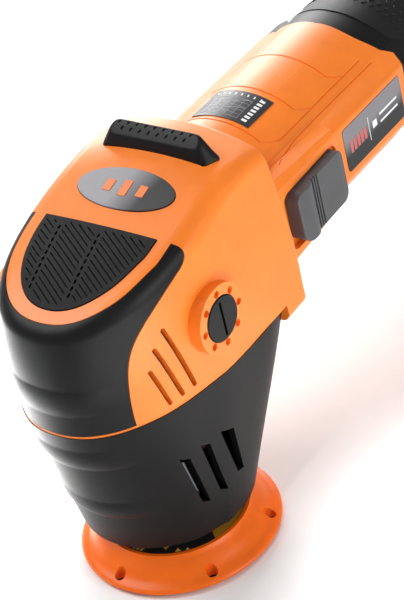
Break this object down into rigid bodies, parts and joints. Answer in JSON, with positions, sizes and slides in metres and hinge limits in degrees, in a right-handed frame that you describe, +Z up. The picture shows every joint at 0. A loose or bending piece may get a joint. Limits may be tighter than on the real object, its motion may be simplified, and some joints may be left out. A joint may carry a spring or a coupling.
{
  "type": "dual action polisher",
  "caption": "Compact corded dual action polisher: upright head with orbiting 80 mm backing plate, brush caps, slide switch and round rubber-sleeved handle.",
  "frame": {"origin": "on the motor axis, in the plane of the backing plate's working face", "axes": "+X towards the front of the head, handle towards -X, +Y the tool's left side with the slide switch, +Z up along the motor axis"},
  "size_m": [0.3, 0.0896, 0.156],
  "materials": {
    "orange_shell": "satin moulded",
    "orange_foam": "skinned polyurethane",
    "black_shell": "fine satin texture",
    "black_rubber": "soft matt",
    "grip_rubber": "textured",
    "badge_black": "satin",
    "badge_orange": "printed",
    "label_film": "printed film",
    "switch_grey": "satin",
    "board_glassfibre": "woven laminate",
    "print_black": "printed",
    "hook_fabric": "hook tape",
    "steel": "ground",
    "zinc_steel": "zinc plated",
    "bearing_steel": "polished",
    "lamination": "stacked laminations",
    "copper": "enamelled wire",
    "aluminium": "die cast",
    "brass": "drawn",
    "carbon": "pressed graphite",
    "nylon": "glass filled",
    "circuit": "coated board"
  },
  "bodies": {
    "housing": {"lower_bearing": "bearing_steel", "upper_bearing": "bearing_steel", "bearing_bracket": "aluminium", "bracket_screws": "zinc_steel", "motor_sleeve": "nylon", "stator_core": "lamination", "field_coils": "copper", "head_housing": "orange_shell", "front_grip": "black_rubber", "top_grip_pad": "black_rubber", "badge_plate": "badge_black", "badge_bars": "badge_orange", "top_bumper": "black_rubber", "lower_shroud": "black_shell", "shroud_screws": "zinc_steel", "brush_cap_left": "black_shell", "brush_cap_right": "black_shell", "brush_holders": "brass", "carbon_brushes": "carbon", "brush_springs": "steel", "neck_housing": "orange_shell", "neck_bottom_cover": "orange_shell", "flange_screws": "zinc_steel", "chart_label": "label_film", "side_label": "label_film", "switch_body": "nylon", "dial_pot": "nylon", "grip_trim_ring": "black_shell", "rear_grip": "grip_rubber", "handle_core": "black_shell", "rear_cap": "black_shell", "cap_screws": "zinc_steel", "cord_gland": "black_rubber", "speed_controller": "circuit", "terminal_block": "nylon"},
    "crank": {"eccentric_carrier": "steel", "spindle_bearings": "bearing_steel", "retaining_ring": "zinc_steel", "counterweight": "steel", "counterweight_screws": "zinc_steel", "armature_shaft": "steel", "armature_core": "lamination", "armature_windings": "copper", "commutator": "copper", "cooling_fan": "nylon"},
    "plate": {"hook_face": "hook_fabric", "backing_plate": "orange_foam", "plate_board": "board_glassfibre", "plate_print_ring": "print_black", "plate_bolt": "zinc_steel", "plate_washer": "zinc_steel", "spindle": "steel"},
    "slider": {"slide_switch": "switch_grey", "switch_rod": "nylon"},
    "dial": {"speed_dial": "black_shell"}
  },
  "joints": [
    {"name": "crank_spin", "type": "hinge", "parent": "housing", "child": "crank", "pos_m": [0, 0, 0.05], "axis": [0, 0, 1], "continuous": true},
    {"name": "plate_spin", "type": "hinge", "parent": "crank", "child": "plate", "pos_m": [0.00391, 0.0058, 0.02], "axis": [0, 0, 1], "continuous": true},
    {"name": "switch_slide", "type": "slide", "parent": "housing", "child": "slider", "axis": [1, 0, 0], "range_m": [0, 0.0035]},
    {"name": "dial_turn", "type": "hinge", "parent": "housing", "child": "dial", "pos_m": [-0.122, -0.0269, 0.1058], "axis": [0, 0, 1], "range_deg": [0, 270]}
  ]
}
